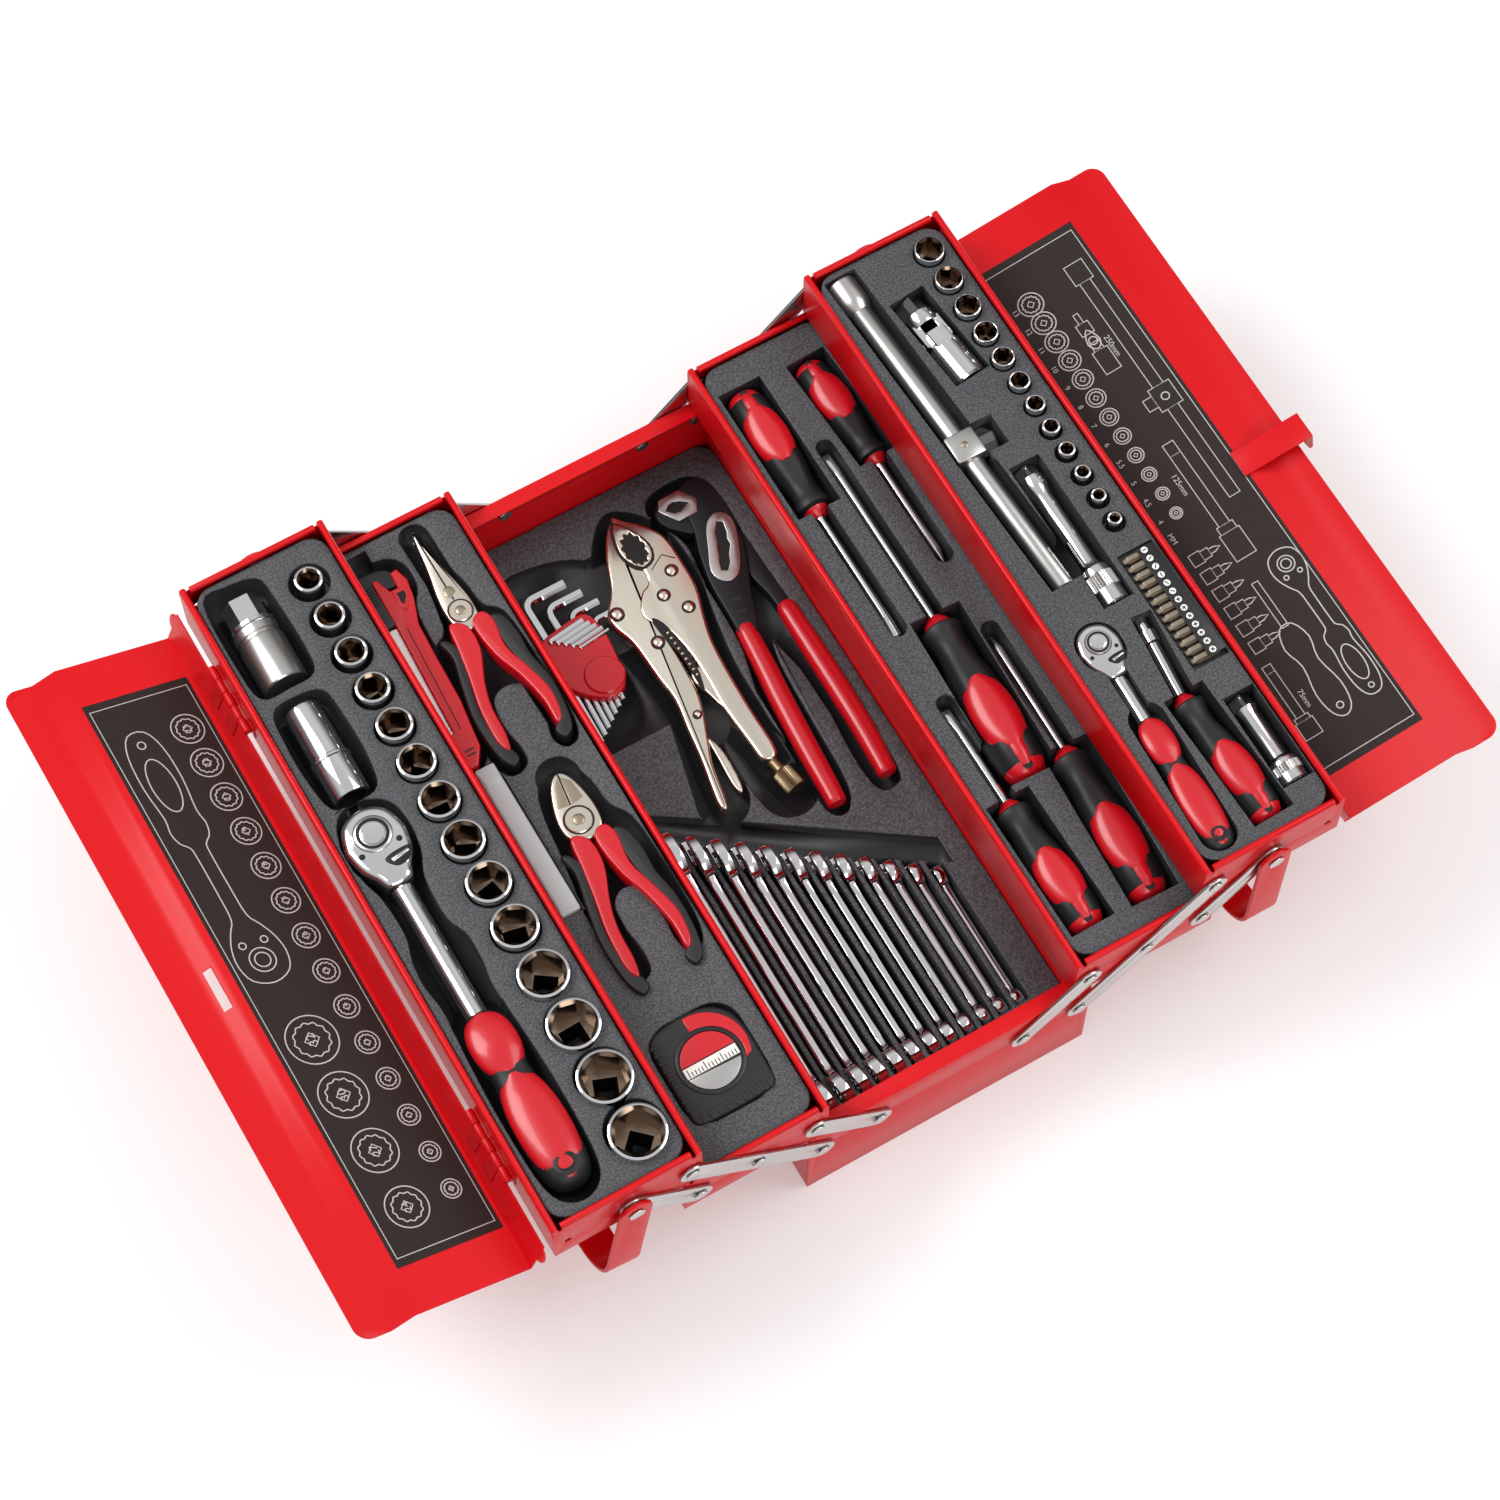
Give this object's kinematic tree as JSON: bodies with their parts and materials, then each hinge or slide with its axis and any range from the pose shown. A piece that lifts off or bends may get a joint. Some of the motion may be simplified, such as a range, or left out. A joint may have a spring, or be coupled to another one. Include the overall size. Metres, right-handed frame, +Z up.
{
  "type": "toolbox with tray",
  "caption": "Five-tray cantilever steel toolbox with hinged lids, swing handles and a fitted set of hand tools, shown open.",
  "frame": {"origin": "centre of the underside of the base, where the box stands on its table", "axes": "+X across the box, the way the right trays slide out; +Y along the box; +Z up"},
  "size_m": [0.7262, 0.4446, 0.1612],
  "materials": {
    "red_enamel": "gloss",
    "bare_steel": "satin",
    "insert_plastic": "grained",
    "sticker_film": "satin",
    "chromed_steel": "polished",
    "nickel_steel": "satin",
    "polished_steel": "polished",
    "black_steel": "satin",
    "red_plastic": "gloss",
    "clear_plastic": "gloss",
    "black_plastic": "satin"
  },
  "bodies": {
    "base": {"base_pan": "red_enamel", "base_ends": "red_enamel", "base_rivets": "bare_steel", "base_insert": "insert_plastic", "hex_key_set": "chromed_steel", "locking_pliers": "nickel_steel", "pump_pliers": "black_steel", "spanners": "chromed_steel"},
    "left_long_links": {"left_long_links": "bare_steel"},
    "left_lower_links": {"left_lower_links": "bare_steel"},
    "left_upper_links": {"left_upper_links": "bare_steel"},
    "left_middle_tray": {"left_middle_shell": "red_enamel", "left_middle_ends": "red_enamel", "left_middle_rivets": "bare_steel", "left_middle_insert": "insert_plastic", "snap_knife": "red_plastic", "long_nose_pliers": "polished_steel", "blade_case": "clear_plastic", "side_cutters": "polished_steel", "tape_measure": "black_plastic"},
    "left_top_tray": {"left_top_shell": "red_enamel", "left_top_ends": "red_enamel", "left_top_rivets": "bare_steel", "left_top_insert": "insert_plastic", "left_tray_hinges": "red_enamel", "half_inch_sockets": "chromed_steel", "plug_sockets": "chromed_steel", "half_inch_ratchet": "chromed_steel"},
    "left_lid": {"left_lid": "red_enamel", "left_lid_knuckles": "red_enamel", "left_sticker": "sticker_film"},
    "left_handle_rivets": {"left_handle_rivets": "bare_steel"},
    "left_handle": {"left_handle": "red_enamel"},
    "right_long_links": {"right_long_links": "bare_steel"},
    "right_lower_links": {"right_lower_links": "bare_steel"},
    "right_upper_links": {"right_upper_links": "bare_steel"},
    "right_middle_tray": {"right_middle_shell": "red_enamel", "right_middle_ends": "red_enamel", "right_middle_rivets": "bare_steel", "right_middle_insert": "insert_plastic", "screwdrivers": "black_plastic"},
    "right_top_tray": {"right_top_shell": "red_enamel", "right_top_ends": "red_enamel", "right_top_rivets": "bare_steel", "right_top_insert": "insert_plastic", "right_tray_hinges": "red_enamel", "drive_bars": "chromed_steel", "universal_joint": "chromed_steel", "quarter_inch_sockets": "chromed_steel", "bit_set": "chromed_steel", "quarter_inch_ratchet": "chromed_steel", "spinner_handle": "black_plastic"},
    "right_lid": {"right_lid": "red_enamel", "right_lid_knuckles": "red_enamel", "right_sticker": "sticker_film", "hasp": "red_enamel"},
    "right_handle_rivets": {"right_handle_rivets": "bare_steel"},
    "right_handle": {"right_handle": "red_enamel"}
  },
  "joints": [
    {"name": "left_cantilever", "type": "hinge", "parent": "base", "child": "left_long_links", "pos_m": [-0.0826, 0, 0.0582], "axis": [0, 1, 0], "range_deg": [0, 86.55]},
    {"name": "left_lower_link_pivot", "type": "hinge", "parent": "base", "child": "left_lower_links", "pos_m": [-0.0462, 0, 0.0582], "axis": [0, 1, 0], "range_deg": [0, 86.55]},
    {"name": "left_middle_tray_pivot", "type": "hinge", "parent": "left_long_links", "child": "left_middle_tray", "pos_m": [-0.123, 0, 0.0981], "axis": [0, 1, 0], "range_deg": [-86.55, 0]},
    {"name": "left_top_tray_pivot", "type": "hinge", "parent": "left_long_links", "child": "left_top_tray", "pos_m": [-0.1634, 0, 0.138], "axis": [0, 1, 0], "range_deg": [-86.55, 0]},
    {"name": "left_upper_link_pivot", "type": "hinge", "parent": "left_middle_tray", "child": "left_upper_links", "pos_m": [-0.1594, 0, 0.0981], "axis": [0, 1, 0], "range_deg": [0, 86.55]},
    {"name": "left_lid_hinge", "type": "hinge", "parent": "left_top_tray", "child": "left_lid", "pos_m": [-0.2498, 0, 0.14], "axis": [0, 1, 0], "range_deg": [0, 158]},
    {"name": "left_handle_lift", "type": "hinge", "parent": "left_top_tray", "child": "left_handle_rivets", "pos_m": [-0.1998, 0, 0.138], "axis": [0, 1, 0], "range_deg": [0, 47]},
    {"name": "left_handle_raise", "type": "hinge", "parent": "left_handle_rivets", "child": "left_handle", "pos_m": [-0.1998, 0, 0.138], "axis": [0, 1, 0], "range_deg": [0, 143]},
    {"name": "right_cantilever", "type": "hinge", "parent": "base", "child": "right_long_links", "pos_m": [0.0826, 0, 0.0582], "axis": [0, -1, 0], "range_deg": [0, 86.55]},
    {"name": "right_lower_link_pivot", "type": "hinge", "parent": "base", "child": "right_lower_links", "pos_m": [0.0462, 0, 0.0582], "axis": [0, -1, 0], "range_deg": [0, 86.55]},
    {"name": "right_middle_tray_pivot", "type": "hinge", "parent": "right_long_links", "child": "right_middle_tray", "pos_m": [0.123, 0, 0.0981], "axis": [0, -1, 0], "range_deg": [-86.55, 0]},
    {"name": "right_top_tray_pivot", "type": "hinge", "parent": "right_long_links", "child": "right_top_tray", "pos_m": [0.1634, 0, 0.138], "axis": [0, -1, 0], "range_deg": [-86.55, 0]},
    {"name": "right_upper_link_pivot", "type": "hinge", "parent": "right_middle_tray", "child": "right_upper_links", "pos_m": [0.1594, 0, 0.0981], "axis": [0, -1, 0], "range_deg": [0, 86.55]},
    {"name": "right_lid_hinge", "type": "hinge", "parent": "right_top_tray", "child": "right_lid", "pos_m": [0.2498, 0, 0.14], "axis": [0, -1, 0], "range_deg": [0, 171]},
    {"name": "right_handle_lift", "type": "hinge", "parent": "right_top_tray", "child": "right_handle_rivets", "pos_m": [0.1998, 0, 0.138], "axis": [0, -1, 0], "range_deg": [0, 55]},
    {"name": "right_handle_raise", "type": "hinge", "parent": "right_handle_rivets", "child": "right_handle", "pos_m": [0.1998, 0, 0.138], "axis": [0, -1, 0], "range_deg": [0, 143]}
  ],
  "couplings": [
    {"joint": "left_lower_link_pivot", "follows": "left_cantilever", "ratio": 1},
    {"joint": "left_middle_tray_pivot", "follows": "left_cantilever", "ratio": -1},
    {"joint": "left_top_tray_pivot", "follows": "left_cantilever", "ratio": -1},
    {"joint": "left_upper_link_pivot", "follows": "left_cantilever", "ratio": 1},
    {"joint": "left_handle_lift", "follows": "left_cantilever", "ratio": 0.54301},
    {"joint": "left_handle_raise", "follows": "left_lid_hinge", "ratio": 0.90506},
    {"joint": "right_lower_link_pivot", "follows": "right_cantilever", "ratio": 1},
    {"joint": "right_middle_tray_pivot", "follows": "right_cantilever", "ratio": -1},
    {"joint": "right_top_tray_pivot", "follows": "right_cantilever", "ratio": -1},
    {"joint": "right_upper_link_pivot", "follows": "right_cantilever", "ratio": 1},
    {"joint": "right_handle_lift", "follows": "right_cantilever", "ratio": 0.63544},
    {"joint": "right_handle_raise", "follows": "right_lid_hinge", "ratio": 0.83626}
  ]
}
